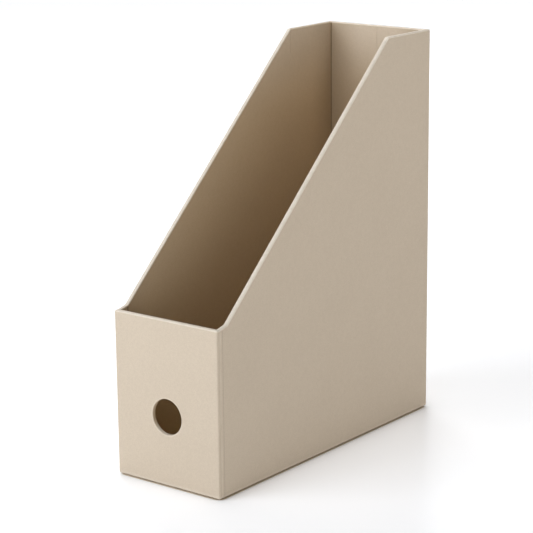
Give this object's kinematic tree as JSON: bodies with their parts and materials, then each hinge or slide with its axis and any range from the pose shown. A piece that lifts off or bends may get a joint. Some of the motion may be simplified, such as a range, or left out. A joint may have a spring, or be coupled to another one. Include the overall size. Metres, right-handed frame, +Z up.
{
  "type": "magazine holder",
  "caption": "Upright open-top magazine holder for A4 paper, with a low front, slanted sides, a high back and a round finger hole in the front.",
  "frame": {"origin": "middle of the footprint, on the surface the holder stands on", "axes": "+Z up, -Y towards the low front with the finger hole, +X to the right seen from the front"},
  "size_m": [0.1, 0.276, 0.318],
  "materials": {
    "greyboard": "plain grey-brown solid board with cut edges",
    "cover_paper": "matte uncoated warm beige paper with a fine soft mottle",
    "lining_paper": "matte uncoated warm beige paper, as the cover",
    "kraft_tape": "brown kraft stay tape"
  },
  "bodies": {
    "root": {"front_board": "greyboard", "back_board": "greyboard", "left_side_board": "greyboard", "right_side_board": "greyboard", "base_board": "greyboard", "front_left_stay": "kraft_tape", "front_right_stay": "kraft_tape", "back_left_stay": "kraft_tape", "back_right_stay": "kraft_tape", "front_cover": "cover_paper", "left_cover": "cover_paper", "right_cover": "cover_paper", "base_cover": "cover_paper", "front_lining": "lining_paper", "left_lining": "lining_paper", "right_lining": "lining_paper", "base_lining": "lining_paper"}
  },
  "joints": []
}
